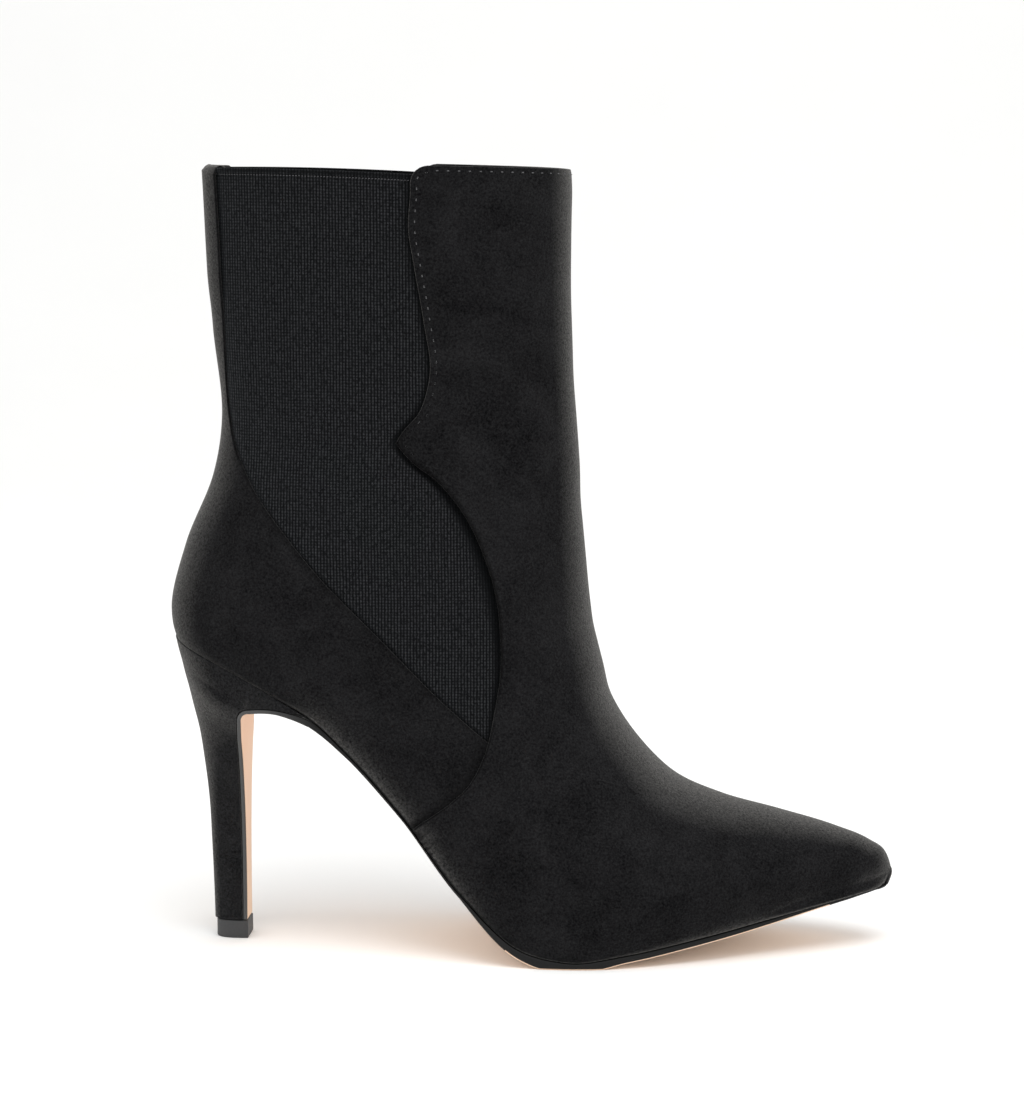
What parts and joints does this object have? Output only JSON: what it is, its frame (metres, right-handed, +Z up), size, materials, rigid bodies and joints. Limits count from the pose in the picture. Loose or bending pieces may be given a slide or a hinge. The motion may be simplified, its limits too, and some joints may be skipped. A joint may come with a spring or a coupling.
{
  "type": "ankle boot",
  "caption": "Pull-on ankle boot for the right foot: hollow suede upper with a pointed toe, elastic side panels, thin sole and a covered stiletto heel.",
  "frame": {"origin": "on the floor under the middle of the boot's box", "axes": "+X from the heel to the toe, +Z up from the floor, -Y towards the lateral side of the foot"},
  "size_m": [0.2338, 0.077, 0.252],
  "materials": {
    "suede": "black suede with a short nap",
    "elastic": "black woven elastic",
    "insole": "matt insole sock",
    "outsole": "satin nude sole with a black edge",
    "heel_cover": "black suede wrapped round the heel",
    "top_lift": "dark grey hard rubber"
  },
  "bodies": {
    "root": {"upper": "suede", "gore_outer": "elastic", "gore_inner": "elastic", "insole": "insole", "outsole": "outsole", "heel": "heel_cover", "top_lift": "top_lift"}
  },
  "joints": []
}
